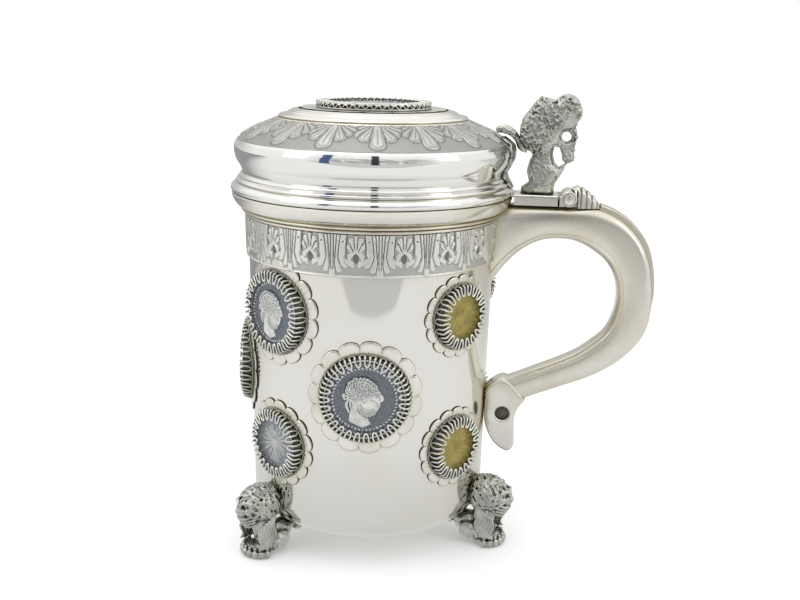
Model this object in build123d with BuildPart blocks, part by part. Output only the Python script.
from build123d import *
import os
from math import cos, pi, radians, sin

# A lidded tankard of beaten silver, set with coins. The drum stands on three
# cast lion feet, and a hollow scroll handle carries the hinge of the domed
# lid, which opens by a lion thumbpiece. Sizes are in millimetres. +Z is up,
# +X points to the handle, and the origin is on the drum's axis at the table.

# Drum
sheet = 1.4               # gauge of the drum and its bottom
base_height = 11.2        # underside of the drum above the table
base_radius = 46.6        # drum radius just above its rolled lower edge
mouth_radius = 48.3       # drum radius at the mouth
mouth_height = 138.5      # height of the mouth above the table
roll_radius = 8.0         # rolled lower edge of the drum

# Rim and frieze, both soldered round the drum
rim_flare = 6.1           # how far the rim moulding stands out of the drum
rim_depth = 9.0           # height of the rim moulding
frieze_gauge = 0.7
frieze_depth = 15.4       # height of the frieze band
frieze_leaves = 18
frieze_relief = 0.8       # how far the leaves stand out of the band

# Coin settings: scalloped plate, claw bezel and coin
plate_gauge = 0.8
plate_lobes = 12
lobe_facets = 4           # straight facets along each lobe
plate_margin = 0.3        # a plate's width past its bezel, as a share of the bezel
bezel_wall = 1.6
claw_count = 12
claw_reach = 2.0          # how far the claw tips lean over the coin
claw_gauge = 0.7
coin_gauge = 1.8
coin_gap = 0.05           # between a coin's back and the plate's crown
solder = 0.15             # seam between the drum and what is soldered to it
upper_drop = 16.6         # how far each row of coins lies under the frieze
middle_drop = 44.6
lower_drop = 68.1
column_step = 45.0        # degrees between the four front columns
rear_step = 52.0          # degrees between the columns behind
first_column = -39.0      # the column just in front of the handle
rear_upper_drop = 13.1    # the pair just behind the handle is set higher
rear_lower_drop = 61.1

# Handle
handle_width = 15.0       # across the grip at the top
handle_foot_width = 10.0  # across the lower scroll
handle_edge = 2.2         # flattened corner along the grip
handle_facets = 16        # straight facets along each curve of the scroll
handle_drop = 3.2         # from the mouth down to the top of the handle
strip_width = 8.0         # applied strip down the back of the handle
strip_gauge = 1.6
vent_radius = 2.7         # vent drilled through the lower scroll

# Hinge
pin_reach = 27.4          # from the mouth's radius out to the pin
pin_rise = 0.2            # from the mouth up to the pin
pin_radius = 1.5
pin_clearance = 0.05
pin_head_radius = 2.1
pin_head = 0.6
knuckle_radius = 3.0
knuckle_gap = 0.15
knuckles = 5              # 1, 3 and 5 belong to the lid, 2 and 4 to the handle
hinge_width = 14.0
leaf_gauge = 4.0          # thickness of the lid's hinge plate
running_gap = 0.4         # between the lid's fittings and what stands still

# Lid
seam = 0.3                # gap between rim and lid
lid_gauge = 1.4
bulge_inset = 1.2         # how far the bulge lies inside the rim moulding
waist_inset = 4.1
step_radius = 37.0
crown_radius = 30.0
crown_height = 31.1       # top of the step above the seam
lid_coin_radius = 20.4
wreath_leaves = 16
wreath_relief = 0.8
locating_gap = 0.6        # between the lid's locating ring and the drum
locating_depth = 3.4

# Feet
foot_angles = (-15.0, 105.0, 225.0)
foot_names = ("foot_front_right", "foot_rear", "foot_front_left")
foot_height = 29.0
foot_width = 17.0
toe_reach = 17.4          # reach of the paws past the drum's edge
paw_width = 4.6
leaf_width = 19.0         # acanthus leaf on the drum behind each foot
leaf_top = 24.6

os.makedirs("parts", exist_ok=True)

taper = (mouth_radius - base_radius) / (mouth_height - base_height - roll_radius)
lid_base = mouth_height + seam
rim_radius = mouth_radius + rim_flare
bulge_radius = rim_radius - bulge_inset
waist_radius = rim_radius - waist_inset
handle_top = mouth_height - handle_drop
pin_x = mouth_radius + pin_reach
pin_z = mouth_height + pin_rise


def wall(z):
    """Outer radius of the drum at height z."""
    return base_radius + taper * (z - base_height - roll_radius)


def save(piece, label):
    """Names a finished piece and writes its file."""
    piece.label = label
    export_step(piece, f"parts/{label}.step")


def lathe(points):
    """A turned piece from its half section, given as (radius, height) points."""
    with BuildPart() as turned:
        with BuildSketch(Plane.XZ):
            with BuildLine():
                Polyline(*points, close=True)
            make_face()
        revolve(axis=Axis.Z)
    return turned.part


def drum_skin(low, high, inner, outer):
    """A ring of sheet lying on the drum, between two distances out of its wall."""
    return lathe([
        (wall(low) + inner, low),
        (wall(low) + outer, low),
        (wall(high) + outer, high),
        (wall(high) + inner, high),
    ])


def drum_core(out, top):
    """Everything inside the drum's wall, grown by a distance out of it."""
    return lathe([
        (0, base_height),
        (wall(base_height) + out, base_height),
        (wall(top) + out, top),
        (0, top),
    ])


# Drum: the raised wall, rolled in at the bottom to take the flat base
with BuildPart() as barrel:
    with BuildSketch(Plane.XZ):
        with BuildLine():
            roll = base_radius - roll_radius
            Line((roll, base_height + sheet), (roll, base_height))
            RadiusArc(
                (roll, base_height),
                (base_radius, base_height + roll_radius),
                -roll_radius,
            )
            Polyline(
                (base_radius, base_height + roll_radius),
                (mouth_radius, mouth_height),
                (mouth_radius - sheet, mouth_height),
                (base_radius - sheet, base_height + roll_radius),
                (base_radius - sheet - roll_radius / 3, base_height + roll_radius / 3),
                (roll, base_height + sheet),
            )
        make_face()
    revolve(axis=Axis.Z)
save(barrel.part, "barrel")

with BuildPart() as base_plate:
    with BuildSketch(Plane.XY.offset(base_height)):
        Circle(base_radius - roll_radius)
    extrude(amount=sheet)
save(base_plate.part, "base_plate")

# Rim: a flared moulding with two fine steps under it
rim_low = mouth_height - rim_depth
rim_moulding = lathe([
    (wall(rim_low), rim_low),
    (wall(rim_low) + 1.0, rim_low + 0.4),
    (wall(rim_low) + 1.2, rim_low + 1.6),
    (wall(rim_low) + 2.0, rim_low + 2.0),
    (wall(rim_low) + 2.2, rim_low + 3.1),
    (mouth_radius + rim_flare * 0.6, rim_low + rim_depth * 0.47),
    (mouth_radius + rim_flare * 0.86, rim_low + rim_depth * 0.68),
    (rim_radius, rim_low + rim_depth * 0.92),
    (rim_radius - 0.4, mouth_height),
    (mouth_radius, mouth_height),
])
save(rim_moulding, "rim_moulding")

# Frieze: a thin band with a row of pointed leaves in relief
frieze_top = rim_low
frieze_low = frieze_top - frieze_depth
leaf_pitch = 360.0 / frieze_leaves
leaf_half = wall(frieze_low) * radians(leaf_pitch) / 2
frieze_skin = drum_skin(
    frieze_low, frieze_top, frieze_gauge, frieze_gauge + frieze_relief
)
with BuildPart() as leaf_frieze:
    for k in range(frieze_leaves):
        turn = radians(first_column + leaf_pitch * k)
        with BuildSketch(Plane(
            origin=(0, 0, frieze_low),
            x_dir=(-sin(turn), cos(turn), 0),
            z_dir=(cos(turn), sin(turn), 0),
        )):
            with BuildLine():
                Polyline(
                    (0, 0.3),
                    (leaf_half * 0.34, 2.2),
                    (leaf_half * 0.3, 6.0),
                    (leaf_half * 0.72, 6.8),
                    (leaf_half * 0.84, 10.0),
                    (leaf_half * 0.55, frieze_depth),
                    (-leaf_half * 0.55, frieze_depth),
                    (-leaf_half * 0.84, 10.0),
                    (-leaf_half * 0.72, 6.8),
                    (-leaf_half * 0.3, 6.0),
                    (-leaf_half * 0.34, 2.2),
                    close=True,
                )
            make_face()
        extrude(amount=rim_radius)
    add(frieze_skin, mode=Mode.INTERSECT)
    add(drum_skin(frieze_low, frieze_top, 0, frieze_gauge))
save(leaf_frieze.part, "leaf_frieze")


# Coin settings
def facing(angle, z):
    """A plane on the drum's axis that looks outward at an angle, at height z."""
    turn = radians(angle)
    return Plane(
        origin=(0, 0, z),
        x_dir=(-sin(turn), cos(turn), 0),
        z_dir=(cos(turn), sin(turn), 0),
    )


def bezel_outer(coin):
    return coin + bezel_wall


def plate_radius(coin):
    return bezel_outer(coin) * (1 + plate_margin)


def scallops(radius):
    """Points of a scalloped outline: a row of round lobes on a circle."""
    lobe = radius * sin(pi / plate_lobes) * 1.06
    ring = radius - lobe
    points = []
    for k in range(plate_lobes):
        out = 2 * pi * k / plate_lobes
        half = radians(74.0)
        for step in range(lobe_facets):
            swing = out - half + 2 * half * (step + 0.5) / lobe_facets
            points.append((
                ring * cos(out) + lobe * cos(swing),
                ring * sin(out) + lobe * sin(swing),
            ))
    return points


def star(coin):
    """Points of the opening between the claws, tips and gaps in turn."""
    points = []
    for k in range(2 * claw_count):
        reach = coin - claw_reach if k % 2 else coin + 0.2
        turn = pi * k / claw_count
        points.append((reach * cos(turn), reach * sin(turn)))
    return points


def collar(radius):
    """Points of a bezel's outside, one flat to each claw and gap."""
    sides = 2 * claw_count
    return [
        (radius * cos(2 * pi * (k + 0.5) / sides), radius * sin(2 * pi * (k + 0.5) / sides))
        for k in range(sides)
    ]


def polygon(points):
    """A face from the points of its outline."""
    with BuildSketch() as shape:
        with BuildLine():
            Polyline(*points, close=True)
        make_face()
    return shape.sketch


def set_plates(settings):
    with BuildPart() as plates:
        for angle, z, coin in settings:
            with BuildSketch(facing(angle, z)):
                add(polygon(scallops(plate_radius(coin))))
            extrude(amount=rim_radius)
        add(drum_skin(
            base_height + roll_radius, frieze_low, solder, solder + plate_gauge
        ), mode=Mode.INTERSECT)
    return plates.part


def coin_back(z, coin):
    return wall(z + coin) + solder + plate_gauge + coin_gap


def set_bezels(settings):
    with BuildPart() as bezels:
        for angle, z, coin in settings:
            face = coin_back(z, coin) + coin_gauge
            with BuildSketch(facing(angle, z).offset(base_radius - roll_radius)):
                add(polygon(collar(bezel_outer(coin))))
                Circle(coin, mode=Mode.SUBTRACT)
            extrude(amount=face - (base_radius - roll_radius))
            with BuildSketch(facing(angle, z).offset(face)):
                add(polygon(collar(bezel_outer(coin))))
                add(polygon(star(coin)), mode=Mode.SUBTRACT)
            extrude(amount=claw_gauge)
        add(drum_core(solder + plate_gauge, frieze_low), mode=Mode.SUBTRACT)
    return bezels.part


def set_coins(settings):
    with BuildPart() as coins:
        for angle, z, coin in settings:
            with BuildSketch(facing(angle, z).offset(coin_back(z, coin))):
                Circle(coin)
            extrude(amount=coin_gauge)
    return coins.part


upper_row = frieze_low - upper_drop
middle_row = frieze_low - middle_drop
lower_row = frieze_low - lower_drop
rear_upper_row = frieze_low - rear_upper_drop
rear_lower_row = frieze_low - rear_lower_drop
front = [first_column - column_step * k for k in range(4)]
rear = [front[-1] - rear_step * (k + 1) for k in range(3)]
rows = {
    "upper": [
        (front[0], upper_row, 10.6),
        (front[2], upper_row, 14.0),
        (rear[0], upper_row, 12.5),
        (rear[2], rear_upper_row, 9.7),
    ],
    "middle": [
        (front[1], middle_row, 15.0),
        (front[3], middle_row, 15.0),
        (rear[1], middle_row, 15.0),
    ],
    "lower": [
        (front[0], lower_row, 10.6),
        (front[2], lower_row, 11.7),
        (rear[0], lower_row, 11.7),
        (rear[2], rear_lower_row, 9.7),
    ],
}
for row, settings in rows.items():
    save(set_plates(settings), f"{row}_rosettes")
    save(set_bezels(settings), f"{row}_bezels")
    save(set_coins(settings), f"{row}_coins")

# What the handle and the feet are fitted against
vessel_form = (
    drum_core(0, mouth_height)
    + drum_skin(frieze_low, frieze_top, -sheet, frieze_gauge + frieze_relief)
    + rim_moulding
)
with BuildPart() as rolled_form:
    with BuildSketch(Plane.XZ):
        with BuildLine():
            Polyline(
                (base_radius, base_height + roll_radius),
                (mouth_radius, mouth_height),
                (0, mouth_height),
                (0, base_height),
                (base_radius - roll_radius, base_height),
            )
            RadiusArc(
                (base_radius - roll_radius, base_height),
                (base_radius, base_height + roll_radius),
                -roll_radius,
            )
        make_face()
    revolve(axis=Axis.Z)

# Handle: a hollow scroll of D section, drawn from its side
def along(curve, first=0.0, last=1.0):
    """Points of a drawn curve between two shares of its length."""
    steps = [first + (last - first) * k / handle_facets for k in range(handle_facets + 1)]
    return [((curve @ step).X, (curve @ step).Y) for step in steps]


def bow(curve, first, last, out):
    """Points that run beside a curve, a set distance to its left."""
    points = []
    for k in range(handle_facets // 2 + 1):
        step = first + (last - first) * 2 * k / handle_facets
        point = curve @ step
        way = curve % step
        points.append((point.X - way.Y * out, point.Y + way.X * out))
    return points


def beside_mouth(points):
    """Points of the handle's side, given out from the mouth and up from its top."""
    return [(mouth_radius + out, handle_top + up) for out, up in points]


inner_x = min(base_radius, mouth_radius) - 3 * sheet
scroll_end, scroll_throat = beside_mouth([(14.6, -77.7), (6.7, -70.1)])
back_curve = Spline(
    *beside_mouth([
        (37.7, 0),
        (49.3, -5.3),
        (57.1, -14.3),
        (60.9, -27.3),
        (61.1, -41.3),
        (55.7, -54.7),
        (41.7, -66),
        (26.7, -72.6),
    ]),
    scroll_end,
    tangents=[(1, -0.05), (-1, -0.55)],
)
palm_curve = Spline(
    scroll_throat,
    *beside_mouth([
        (19.1, -64.7),
        (32.2, -58.5),
        (43.2, -49.8),
        (48, -35.8),
        (44.9, -23.3),
        (35.7, -14.8),
        (23.2, -11.9),
        (11.7, -16.5),
        (3.2, -24.8),
        (-1.9, -35.3),
    ]),
    tangents=[(1, 0.42), (-0.35, -1)],
)
with BuildSketch() as handle_side:
    with BuildLine():
        Polyline(
            *beside_mouth([(-5.9, 0)]),
            *along(back_curve),
            *along(palm_curve),
            *beside_mouth([(-5.9, -37.3)]),
            close=True,
        )
    make_face()

with BuildPart() as handle:
    with BuildSketch(Plane.XZ):
        add(handle_side.sketch)
    extrude(amount=handle_width / 2 - handle_edge)
    with BuildSketch(Plane.XZ.offset(handle_width / 2 - handle_edge)):
        add(handle_side.sketch)
    extrude(amount=handle_edge, taper=45)
    mirror(about=Plane.XZ)
    with BuildSketch(Plane.YZ):
        with BuildLine():
            Polyline(
                (-handle_width / 2, mouth_height),
                (-handle_foot_width / 2, handle_top - 85.3),
                (handle_foot_width / 2, handle_top - 85.3),
                (handle_width / 2, mouth_height),
                close=True,
            )
        make_face()
    extrude(amount=3 * pin_x, mode=Mode.INTERSECT)
    add(vessel_form, mode=Mode.SUBTRACT)
save(handle.part, "handle")

with BuildPart() as handle_back_strip:
    with BuildSketch(Plane.XZ):
        with BuildLine():
            Polyline(
                *bow(back_curve, 0.04, 0.36, strip_gauge),
                *reversed(bow(back_curve, 0.04, 0.36, -strip_gauge)),
                close=True,
            )
        make_face()
    extrude(amount=strip_width / 2, both=True)
    add(handle.part, mode=Mode.SUBTRACT)
save(handle_back_strip.part, "handle_back_strip")

with BuildPart() as handle_terminal:
    with BuildSketch(Plane.XZ):
        with BuildLine():
            Polyline(
                scroll_end,
                scroll_throat,
                (inner_x, handle_top - 74.3),
                (inner_x, handle_top - 88.3),
                *beside_mouth([
                    (0.5, -91.7),
                    (2.9, -95.9),
                    (6.1, -98.7),
                    (9.1, -99.7),
                    (11.1, -97.5),
                    (11.3, -93.3),
                    (10.9, -87.3),
                    (11.9, -81.9),
                ]),
                close=True,
            )
        make_face()
        with Locations(*beside_mouth([(6.1, -83.9)])):
            Circle(vent_radius, mode=Mode.SUBTRACT)
    extrude(amount=handle_foot_width / 2 + 0.6, both=True)
    add(vessel_form, mode=Mode.SUBTRACT)
save(handle_terminal.part, "handle_terminal")

# Hinge: five knuckles on one pin, the lid's set between the handle's
knuckle_pitch = hinge_width / knuckles


def knuckle(number, bore):
    """One hinge knuckle, numbered from the front, with its bore."""
    with BuildPart() as tube:
        with BuildSketch(Plane.XZ.offset(
            hinge_width / 2 - knuckle_pitch * number + knuckle_gap / 2
        )):
            with Locations((pin_x, pin_z)):
                Circle(knuckle_radius)
                Circle(bore, mode=Mode.SUBTRACT)
        extrude(amount=knuckle_pitch - knuckle_gap)
    return tube.part


with BuildPart() as hinge_pin:
    for start, length, radius in (
        (hinge_width / 2 + knuckle_gap, -hinge_width - 2 * knuckle_gap, pin_radius),
        (hinge_width / 2 + knuckle_gap, pin_head, pin_head_radius),
        (-hinge_width / 2 - knuckle_gap, -pin_head, pin_head_radius),
    ):
        with BuildSketch(Plane.XZ.offset(start)):
            with Locations((pin_x, pin_z)):
                Circle(radius)
        extrude(amount=length)
save(hinge_pin.part, "hinge_pin")

with BuildPart() as hinge_seat:
    for number in (2, 4):
        with Locations((
            pin_x + knuckle_radius * 0.6,
            -hinge_width / 2 + knuckle_pitch * (number - 0.5),
            (handle_top + pin_z) / 2,
        )):
            Box(knuckle_radius * 2.4, knuckle_pitch - knuckle_gap, pin_z - handle_top)
    with BuildSketch(Plane.XZ.offset(hinge_width)):
        with Locations((pin_x, pin_z)):
            Circle(knuckle_radius)
    extrude(amount=-2 * hinge_width, mode=Mode.SUBTRACT)
    add(knuckle(2, pin_radius))
    add(knuckle(4, pin_radius))
save(hinge_seat.part, "hinge_seat")

# Shell: a fluted cover behind the hinge, on top of the handle
shell_front = pin_x + knuckle_radius + running_gap
with BuildPart() as hinge_shell:
    for flute in range(5):
        lean = (flute - 2) / 2
        with BuildSketch(Plane.XZ.offset(-lean * 5.0)):
            with BuildLine():
                Polyline(
                    (shell_front, handle_top),
                    (shell_front, pin_z + 1.4),
                    (pin_x + 1.9, pin_z + 3.3),
                    (pin_x + 1.5, pin_z + 4.2),
                    (pin_x + 3.8, pin_z + 4.9 - abs(lean)),
                    (pin_x + 6.8, pin_z + 3.3 - abs(lean)),
                    (pin_x + 10.6 - abs(lean), pin_z + 0.2),
                    (pin_x + 12.9 - 2 * abs(lean), handle_top - 0.6),
                    (pin_x + 12.9 - 2 * abs(lean), handle_top - 3),
                    (shell_front, handle_top - 3),
                    close=True,
                )
            make_face()
        extrude(amount=1.4, both=True)
    with Locations((shell_front + 1.6, 0, (handle_top + pin_z) / 2 + 0.8)):
        Box(3.0, 11.4, pin_z - handle_top + 1.6)
    add(handle.part, mode=Mode.SUBTRACT)
    add(handle_back_strip.part, mode=Mode.SUBTRACT)
    add(hinge_seat.part, mode=Mode.SUBTRACT)
save(hinge_shell.part, "hinge_shell")

# Feet: a crouching lion under the drum's edge, with a leaf up the wall
def block(points, half):
    """A solid drawn from its side, out from the drum's edge and up from the table."""
    with BuildPart() as solid:
        with BuildSketch(Plane.XZ):
            with BuildLine():
                Polyline(*[(base_radius + out, up) for out, up in points], close=True)
            make_face()
        extrude(amount=half, both=True)
    return solid.part


with BuildPart() as foot:
    half = foot_width / 2
    add(block([(-13.6, 0), (toe_reach - 2, 0), (toe_reach - 2, 2.0), (-12.6, 2.0)], half - 1.2))
    add(block([(-10.6, 0), (-9.6, 6), (-5.6, 12), (-0.6, 15), (7.4, 17), (10.4, 12), (9.4, 0)], half - 2.2))
    add(block([(-22.6, base_height), (-20.6, 8), (-15.6, 5.6), (-9.6, 3), (-6.6, base_height)], 3.4))
    add(block([
        (-0.1, 12),
        (-1.1, 20),
        (0.9, 26),
        (4.9, foot_height),
        (8.9, 27.5),
        (11.9, 22),
        (10.9, 12),
        (7.4, 8.5),
        (2.4, 9),
    ], half - 1.0))
    add(block([
        (8.4, 25.2),
        (11.9, 25.0),
        (14.4, 23.4),
        (toe_reach, 21.4),
        (toe_reach, 17.8),
        (14.9, 14.6),
        (9.9, 14.4),
    ], half - 3.6))
    for side in (-1, 1):
        with Locations((0, side * (half - 2.6), 0)):
            add(block([
                (3.4, 0),
                (5.4, 11),
                (10.4, 12),
                (12.9, 6.4),
                (16.4, 5.4),
                (toe_reach, 3.2),
                (toe_reach, 0),
            ], paw_width / 2))
            add(block([
                (-12.6, 0),
                (-12.1, 7),
                (-8.6, 11),
                (-2.6, 11),
                (0.9, 6),
                (4.4, 3.2),
                (5.4, 0),
            ], paw_width / 2))
    add(rolled_form.part, mode=Mode.SUBTRACT)
for name, angle in zip(foot_names, foot_angles):
    save(Location((0, 0, 0), (0, 0, angle)) * foot.part, name)

with BuildPart() as foot_leaf:
    with BuildSketch(Plane.YZ):
        with BuildLine():
            Polyline(
                (-leaf_width * 0.3, base_height + 4),
                (leaf_width * 0.3, base_height + 4),
                (leaf_width * 0.5, base_height + 10),
                (leaf_width * 0.36, leaf_top - 3.4),
                (leaf_width * 0.16, leaf_top - 2.6),
                (0, leaf_top + 3.2),
                (-leaf_width * 0.16, leaf_top - 2.6),
                (-leaf_width * 0.36, leaf_top - 3.4),
                (-leaf_width * 0.5, base_height + 10),
                close=True,
            )
        make_face()
    extrude(amount=base_radius + 1.2)
    add(rolled_form.part, mode=Mode.SUBTRACT)
    add(foot.part, mode=Mode.SUBTRACT)
leaf_solid = foot_leaf.part.solids().sort_by(SortBy.VOLUME)[-1]
with BuildPart() as foot_leaves:
    for angle in foot_angles:
        add(Location((0, 0, 0), (0, 0, angle)) * leaf_solid)
save(foot_leaves.part, "foot_leaves")

# Lid: a domed shell with a stepped foot, drawn as its half section
crown = lid_base + crown_height
waist = lid_base + 7.6
swell = crown - 18.3
slope = [
    (bulge_radius - 1.0, crown - 11.5),
    ((step_radius + bulge_radius - 1.0) / 2 + 1.8, crown - 8.3),
    (step_radius, crown - 4.3),
]
lid_outside = [
    (rim_radius - 0.4, lid_base),
    (rim_radius + 0.3, lid_base + 0.8),
    (rim_radius + 0.1, lid_base + 2.0),
    (rim_radius - 1.8, lid_base + 3.4),
    (rim_radius - 3.0, lid_base + 5.0),
    (waist_radius, waist),
    (waist_radius + 1.0, waist * 0.54 + swell * 0.46),
    (bulge_radius - 0.4, swell),
    (bulge_radius, crown - 15.1),
    (bulge_radius - 0.4, crown - 12.5),
    *slope,
]
lid_foot = rim_radius - 2.0
with BuildPart() as lid_dome:
    add(lathe([
        *lid_outside,
        (crown_radius, crown - 2.7),
        (crown_radius - 1.0, crown),
        (0, crown),
        (0, crown - lid_gauge),
        (crown_radius - 1.0 - lid_gauge, crown - lid_gauge),
        (crown_radius - lid_gauge, crown - 4.1),
        (step_radius - 0.6, crown - 5.7),
        (bulge_radius - 2.4, crown - 12.5),
        (bulge_radius - 1.6, crown - 15.5),
        (waist_radius - lid_gauge, waist + 0.4),
        (lid_foot, lid_base + 1.6),
        (lid_foot, lid_base),
    ]))
save(lid_dome.part, "lid_dome")

locating_radius = mouth_radius - sheet - locating_gap
lid_flange = lathe([
    (locating_radius - 1.5, lid_base - locating_depth),
    (locating_radius, lid_base - locating_depth),
    (locating_radius, lid_base),
    (lid_foot, lid_base),
    (lid_foot, lid_base + 1.4),
    (locating_radius - 1.5, lid_base + 1.4),
])
save(lid_flange, "lid_flange")

lid_step_ring = lathe([
    (step_radius, crown - 4.3),
    (step_radius + 0.2, crown - 3.2),
    (step_radius - 1.2, crown - 2.3),
    (step_radius - 1.6, crown - 1.2),
    ((step_radius + crown_radius) / 2 - 1.5, crown - 0.7),
    (crown_radius - 1.0, crown),
    (crown_radius, crown - 2.7),
])
save(lid_step_ring, "lid_step_ring")

# Wreath: leaves in low relief down the lid's slope
wreath_pitch = 360.0 / wreath_leaves
wreath_half = slope[1][0] * radians(wreath_pitch) / 2
slope_run = slope[0][0] - step_radius
with BuildPart() as lid_wreath:
    for k in range(wreath_leaves):
        turn = radians(first_column + wreath_pitch * k)
        with BuildSketch(Plane(
            origin=(0, 0, lid_base),
            x_dir=(cos(turn), sin(turn), 0),
            z_dir=(0, 0, 1),
        )):
            with BuildLine():
                Polyline(
                    (step_radius + 0.6, wreath_half * 0.5),
                    (step_radius + slope_run * 0.4, wreath_half * 0.86),
                    (step_radius + slope_run * 0.63, wreath_half * 0.8),
                    (step_radius + slope_run * 0.67, wreath_half * 0.44),
                    (step_radius + slope_run * 0.855, wreath_half * 0.42),
                    (step_radius + slope_run * 0.98, 0),
                    (step_radius + slope_run * 0.855, -wreath_half * 0.42),
                    (step_radius + slope_run * 0.67, -wreath_half * 0.44),
                    (step_radius + slope_run * 0.63, -wreath_half * 0.8),
                    (step_radius + slope_run * 0.4, -wreath_half * 0.86),
                    (step_radius + 0.6, -wreath_half * 0.5),
                    close=True,
                )
            make_face()
        extrude(amount=2 * crown_height)
    add(lathe([
        *slope,
        (slope[2][0], slope[2][1] + wreath_relief),
        (slope[1][0], slope[1][1] + wreath_relief),
        (slope[0][0], slope[0][1] + wreath_relief),
    ]), mode=Mode.INTERSECT)
save(lid_wreath.part, "lid_wreath")

# The lid's coin: its plate, claw bezel and coin lie flat on the crown
lid_plate_top = crown + plate_gauge
with BuildPart() as lid_rosette:
    with BuildSketch(Plane.XY.offset(crown)):
        add(polygon(scallops(crown_radius - 1.2)))
    extrude(amount=plate_gauge)
save(lid_rosette.part, "lid_rosette")

lid_coin_top = lid_plate_top + coin_gauge
with BuildPart() as lid_bezel:
    with BuildSketch(Plane.XY.offset(lid_plate_top)):
        add(polygon(collar(bezel_outer(lid_coin_radius))))
        Circle(lid_coin_radius, mode=Mode.SUBTRACT)
    extrude(amount=coin_gauge)
    with BuildSketch(Plane.XY.offset(lid_coin_top)):
        add(polygon(collar(bezel_outer(lid_coin_radius))))
        add(polygon(star(lid_coin_radius)), mode=Mode.SUBTRACT)
    extrude(amount=claw_gauge)
save(lid_bezel.part, "lid_bezel")

with BuildPart() as lid_coin:
    with BuildSketch(Plane.XY.offset(lid_plate_top)):
        Circle(lid_coin_radius)
    extrude(amount=coin_gauge)
save(lid_coin.part, "lid_coin")

# Hinge plate: from the lid's foot out to its three knuckles
lid_form = lathe([
    (0, lid_base),
    *lid_outside,
    (0, crown - 4.3),
])
leaf_top_z = pin_z + 1.1
rim_clear = rim_radius + running_gap + 0.2
with BuildPart() as hinge_leaf:
    with BuildSketch(Plane.XZ):
        with BuildLine():
            Polyline(
                (waist_radius, lid_base),
                (rim_clear, lid_base),
                (rim_clear, leaf_top_z - leaf_gauge),
                (pin_x, leaf_top_z - leaf_gauge),
                (pin_x, leaf_top_z),
                (waist_radius, leaf_top_z),
                close=True,
            )
        make_face()
    extrude(amount=hinge_width / 2 - knuckle_gap / 2, both=True)
    for number in (2, 4):
        with Locations((
            pin_x,
            -hinge_width / 2 + knuckle_pitch * (number - 0.5),
            pin_z,
        )):
            Box(
                2 * (knuckle_radius + running_gap),
                knuckle_pitch + knuckle_gap,
                4 * knuckle_radius,
                mode=Mode.SUBTRACT,
            )
    with BuildSketch(Plane.XZ.offset(hinge_width)):
        with Locations((pin_x, pin_z)):
            Circle(knuckle_radius - 0.2)
    extrude(amount=-2 * hinge_width, mode=Mode.SUBTRACT)
    for number in (1, 3, 5):
        add(knuckle(number, pin_radius + pin_clearance))
    add(lid_form, mode=Mode.SUBTRACT)
save(hinge_leaf.part, "hinge_leaf")

# Thumbpiece: a seated lion on the hinge plate, cast with openings
def on_hinge(points):
    """Points of the lid's castings, out from the pin and up from the hinge plate."""
    return [(pin_x + out, leaf_top_z + up) for out, up in points]


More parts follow.
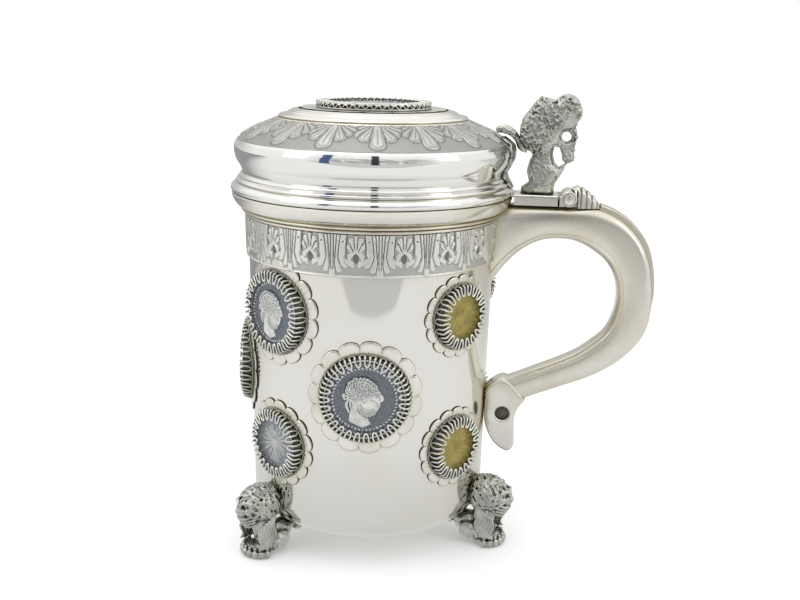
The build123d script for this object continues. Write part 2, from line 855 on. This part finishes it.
with BuildPart() as thumb_lion:
    with BuildSketch(Plane.XZ):
        with BuildLine():
            Polyline(
                *on_hinge([
                    (-19.3, 0),
                    (-18.8, 2.8),
                    (-16.1, 5.2),
                    (-16.9, 9.8),
                    (-15.5, 14.4),
                    (-19.4, 17.7),
                    (-20, 23.7),
                    (-19.1, 28.2),
                    (-16.3, 32),
                    (-13.6, 35.8),
                    (-11, 37),
                    (-6.9, 36),
                    (-3.3, 37.9),
                    (0.1, 37.3),
                    (2.9, 33.7),
                    (3.6, 28.9),
                    (1.9, 26.2),
                    (2.1, 19.5),
                    (1.3, 12.3),
                    (-1.3, 11.5),
                    (-2.7, 7.3),
                    (-4.9, 4.3),
                    (-5.5, 0),
                ]),
                close=True,
            )
        make_face()
        with Locations(*on_hinge([(-2.1, 21.8)])):
            Circle(1.8, mode=Mode.SUBTRACT)
        with BuildLine():
            Polyline(
                *on_hinge([(-6.4, 17.2), (-4.8, 16.4), (-3.3, 11), (-4.7, 10), (-6.5, 13.4)]),
                close=True,
            )
        make_face(mode=Mode.SUBTRACT)
    extrude(amount=3.0, both=True)
    for spot, radius, half in (
        ((-10.9, 9.2), 5.6, 4.6),
        ((-12.1, 24.8), 7.2, 4.8),
        ((-1.7, 32.8), 4.2, 4.2),
        ((-6.7, 28.6), 6.0, 5.0),
    ):
        with BuildSketch(Plane.XZ.offset(half)):
            with Locations(*on_hinge([spot])):
                RegularPolygon(radius, 10)
        extrude(amount=-2 * half)
save(thumb_lion.part, "thumb_lion")

with BuildPart() as lion_tail:
    with BuildSketch(Plane.XZ):
        with BuildLine():
            Polyline(
                *on_hinge([
                    (-16.1, 7.8),
                    (-19.7, 8.6),
                    (-22.7, 11.6),
                    (-22.3, 16.6),
                    (-20.7, 19.8),
                    (-23.5, 22.2),
                    (-28.7, 22.8),
                    (-29.3, 24.6),
                    (-27.3, 25.8),
                    (-23.3, 24.6),
                    (-19.9, 22.6),
                    (-18.9, 20.2),
                    (-20.3, 16.6),
                    (-20.5, 12.6),
                    (-18.7, 10.8),
                    (-16.1, 10),
                ]),
                close=True,
            )
        make_face()
    extrude(amount=2.0, both=True)
    add(lid_form, mode=Mode.SUBTRACT)
    add(thumb_lion.part, mode=Mode.SUBTRACT)
    add(lid_wreath.part, mode=Mode.SUBTRACT)
save(lion_tail.part, "lion_tail")

with BuildPart() as lid_bracket:
    with BuildSketch(Plane.XZ):
        with BuildLine():
            Polyline(
                (waist_radius - 2, leaf_top_z),
                (rim_radius + 1.8, leaf_top_z),
                (rim_radius + 0.2, leaf_top_z + 2.8),
                (rim_radius - 1.0, leaf_top_z + 7.8),
                (rim_radius - 1.8, leaf_top_z + 11.8),
                (waist_radius - 2, leaf_top_z + 11.2),
                close=True,
            )
        make_face()
    extrude(amount=hinge_width / 2 + 1.0, both=True)
    add(lid_form, mode=Mode.SUBTRACT)
    add(hinge_leaf.part, mode=Mode.SUBTRACT)
    add(lion_tail.part, mode=Mode.SUBTRACT)
save(lid_bracket.part, "lid_bracket")
